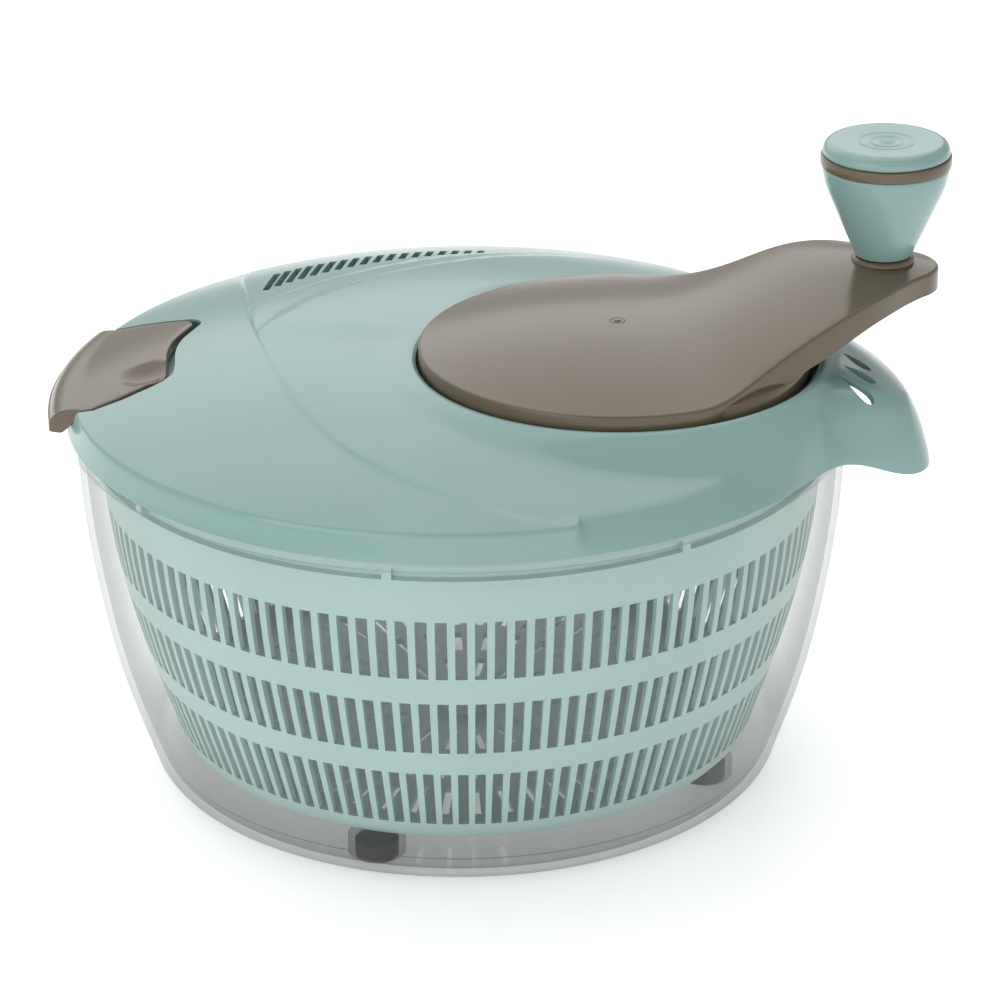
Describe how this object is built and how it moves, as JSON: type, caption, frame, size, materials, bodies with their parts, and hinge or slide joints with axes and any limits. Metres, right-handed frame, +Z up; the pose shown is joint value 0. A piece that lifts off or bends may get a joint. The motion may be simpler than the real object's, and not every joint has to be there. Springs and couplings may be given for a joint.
{
  "type": "salad spinner",
  "caption": "Crank salad spinner: clear round bowl, slotted basket, domed lid with spout, vents and sliding lock, off-centre crank with knob.",
  "frame": {"origin": "on the bowl's axis at the standing surface, at the feet's lower faces", "axes": "+Z up along the bowl's axis, +X towards the pouring spout"},
  "size_m": [0.2781, 0.25, 0.2075],
  "materials": {
    "clear_bowl": "clear moulded SAN plastic, glossy",
    "mint_plastic": "glossy pale blue-green moulded plastic",
    "brown_plastic": "glossy taupe brown moulded plastic",
    "white_plastic": "natural acetal, satin",
    "grey_plastic": "grey moulded plastic, satin",
    "steel": "plated steel",
    "rubber": "dark rubber, matt"
  },
  "bodies": {
    "bowl": {"bowl": "clear_bowl", "bowl_feet": "rubber"},
    "lid": {"lid_cover": "mint_plastic", "gear_housing": "mint_plastic", "housing_screws": "steel", "crank_bush": "white_plastic", "pinion_bush_upper": "white_plastic", "pinion_bush_lower": "white_plastic"},
    "lock": {"lock_slider": "brown_plastic"},
    "crank": {"crank_cover": "brown_plastic", "drive_gear": "white_plastic", "gear_washer": "steel", "gear_screw": "steel", "knob_pin": "steel", "knob_washer": "steel", "pin_clip": "steel"},
    "knob": {"knob_body": "mint_plastic", "knob_ring": "brown_plastic", "knob_cap": "mint_plastic"},
    "driver": {"pinion": "white_plastic", "drive_plate": "grey_plastic", "plate_washer": "steel", "plate_screw": "steel"},
    "basket": {"basket": "mint_plastic"}
  },
  "joints": [
    {"name": "lid_lift", "type": "slide", "parent": "bowl", "child": "lid", "axis": [0, 0, 1], "range_m": [0, 0.3]},
    {"name": "lock_slide", "type": "slide", "parent": "lid", "child": "lock", "axis": [0.9703, 0.2419, 0], "range_m": [0, 0.0024]},
    {"name": "crank_spin", "type": "hinge", "parent": "lid", "child": "crank", "pos_m": [0.052, 0, 0.14], "axis": [0, 0, 1], "continuous": true},
    {"name": "knob_spin", "type": "hinge", "parent": "crank", "child": "knob", "pos_m": [0.12561, 0.0425, 0.18], "axis": [0, 0, 1], "continuous": true},
    {"name": "basket_spin", "type": "hinge", "parent": "lid", "child": "driver", "pos_m": [0, 0, 0.12], "axis": [0, 0, 1], "continuous": true},
    {"name": "basket_lift", "type": "slide", "parent": "driver", "child": "basket", "axis": [0, 0, -1], "range_m": [0, 0.15]}
  ],
  "couplings": [
    {"joint": "basket_spin", "follows": "crank_spin", "ratio": -4},
    {"joint": "basket_lift", "follows": "lid_lift", "ratio": 0.5}
  ]
}
